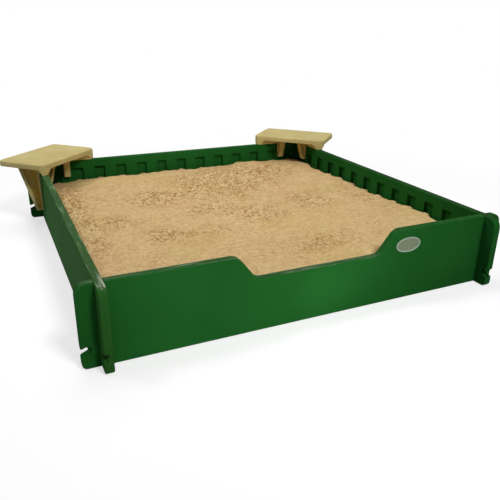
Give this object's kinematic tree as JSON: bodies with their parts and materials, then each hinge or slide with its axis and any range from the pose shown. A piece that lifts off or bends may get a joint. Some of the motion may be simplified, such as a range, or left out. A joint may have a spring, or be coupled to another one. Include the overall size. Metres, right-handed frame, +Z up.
{
  "type": "sandbox",
  "caption": "Square sandbox of moulded panels that cross at the corners, with a step-in dip in front, sand inside and lift-off seats over the rear corners.",
  "frame": {"origin": "on the ground under the middle of the square play area, on the underside of the ground cloth", "axes": "+X to the right panel, +Y to the back panel, +Z up; the step-in dip is in the front panel, at -Y"},
  "size_m": [1.5442, 1.4511, 0.2763],
  "materials": {
    "panel_plastic": "satin",
    "plate_plastic": "satin",
    "seat_plastic": "satin",
    "sand": "matte",
    "cloth": "matte"
  },
  "bodies": {
    "box": {"front_panel": "panel_plastic", "back_panel": "panel_plastic", "left_panel": "panel_plastic", "right_panel": "panel_plastic", "oval_plate": "plate_plastic", "sand_fill": "sand", "ground_cloth": "cloth"},
    "left_seat": {"left_seat": "seat_plastic"},
    "right_seat": {"right_seat": "seat_plastic"}
  },
  "joints": [
    {"name": "left_seat_lift", "type": "slide", "parent": "box", "child": "left_seat", "axis": [0, 0, 1], "range_m": [0, 0.2]},
    {"name": "right_seat_lift", "type": "slide", "parent": "box", "child": "right_seat", "axis": [0, 0, 1], "range_m": [0, 0.2]}
  ]
}
